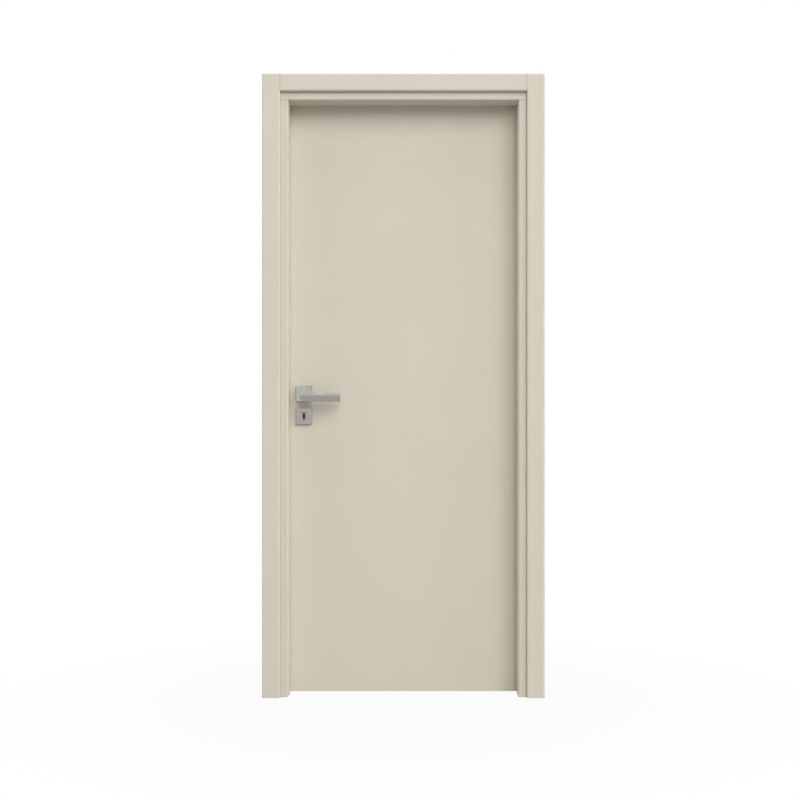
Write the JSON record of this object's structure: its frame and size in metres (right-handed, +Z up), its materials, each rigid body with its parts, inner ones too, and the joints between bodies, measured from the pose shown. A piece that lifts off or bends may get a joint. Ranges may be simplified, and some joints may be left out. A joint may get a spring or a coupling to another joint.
{
  "type": "hinged interior door with frame",
  "caption": "Flush rebated door leaf hung on barrel hinges in a rebated jamb set with flat architraves, with a lever handle and a square key plate on each side.",
  "frame": {"origin": "on the hinge jamb's outer, wall-side face, at floor level, at mid-depth of the jamb", "axes": "+X out of the hinge jamb into the wall (to the right, seen from the push side), +Y through the doorway from the push side to the pull side, +Z up"},
  "size_m": [1.013, 0.199, 2.2015],
  "materials": {
    "jamb_lacquer": "matte greige lacquer on board",
    "architrave_lacquer": "matte greige lacquer on board",
    "leaf_lacquer": "matte greige lacquer on fibreboard skins",
    "seal_rubber": "soft extruded seal, tinted to the frame",
    "hinge_metal": "satin plated steel",
    "lock_steel": "satin plated steel",
    "handle_metal": "satin chrome on cast metal",
    "key_insert": "grey moulded key guide"
  },
  "bodies": {
    "frame": {"hinge_jamb": "jamb_lacquer", "lock_jamb": "jamb_lacquer", "head_jamb": "jamb_lacquer", "strike_plate": "lock_steel", "hinge_side_seal": "seal_rubber", "lock_side_seal": "seal_rubber", "head_seal": "seal_rubber", "front_architrave_hinge_side": "architrave_lacquer", "front_architrave_lock_side": "architrave_lacquer", "front_architrave_head": "architrave_lacquer", "back_architrave_hinge_side": "architrave_lacquer", "back_architrave_lock_side": "architrave_lacquer", "back_architrave_head": "architrave_lacquer", "hinge_frame_half_bottom": "hinge_metal", "hinge_frame_half_middle": "hinge_metal", "hinge_frame_half_top": "hinge_metal"},
    "leaf": {"leaf_lock_stile": "leaf_lacquer", "leaf_hinge_stile": "leaf_lacquer", "leaf_top_rail": "leaf_lacquer", "leaf_bottom_rail": "leaf_lacquer", "leaf_front_skin": "leaf_lacquer", "leaf_back_skin": "leaf_lacquer", "hinge_leaf_half_bottom": "hinge_metal", "hinge_leaf_half_middle": "hinge_metal", "hinge_leaf_half_top": "hinge_metal", "lock_case": "lock_steel", "latch_bolt": "lock_steel", "dead_bolt": "lock_steel", "front_rose": "handle_metal", "front_key_plate": "handle_metal", "front_key_insert": "key_insert", "back_rose": "handle_metal", "back_key_plate": "handle_metal", "back_key_insert": "key_insert"},
    "handle": {"front_lever": "handle_metal", "back_lever": "handle_metal", "spindle": "lock_steel"}
  },
  "joints": [
    {"name": "leaf_swing", "type": "hinge", "parent": "frame", "child": "leaf", "pos_m": [-0.0145, 0.071, 1.058], "axis": [0, 0, -1], "range_deg": [0, 170]},
    {"name": "lever_turn", "type": "hinge", "parent": "leaf", "child": "handle", "pos_m": [-0.806, 0.0505, 1.072], "axis": [0, 1, 0], "range_deg": [0, 40], "stiffness_Nm_per_rad": 1.5, "springref_deg": -34.38}
  ]
}
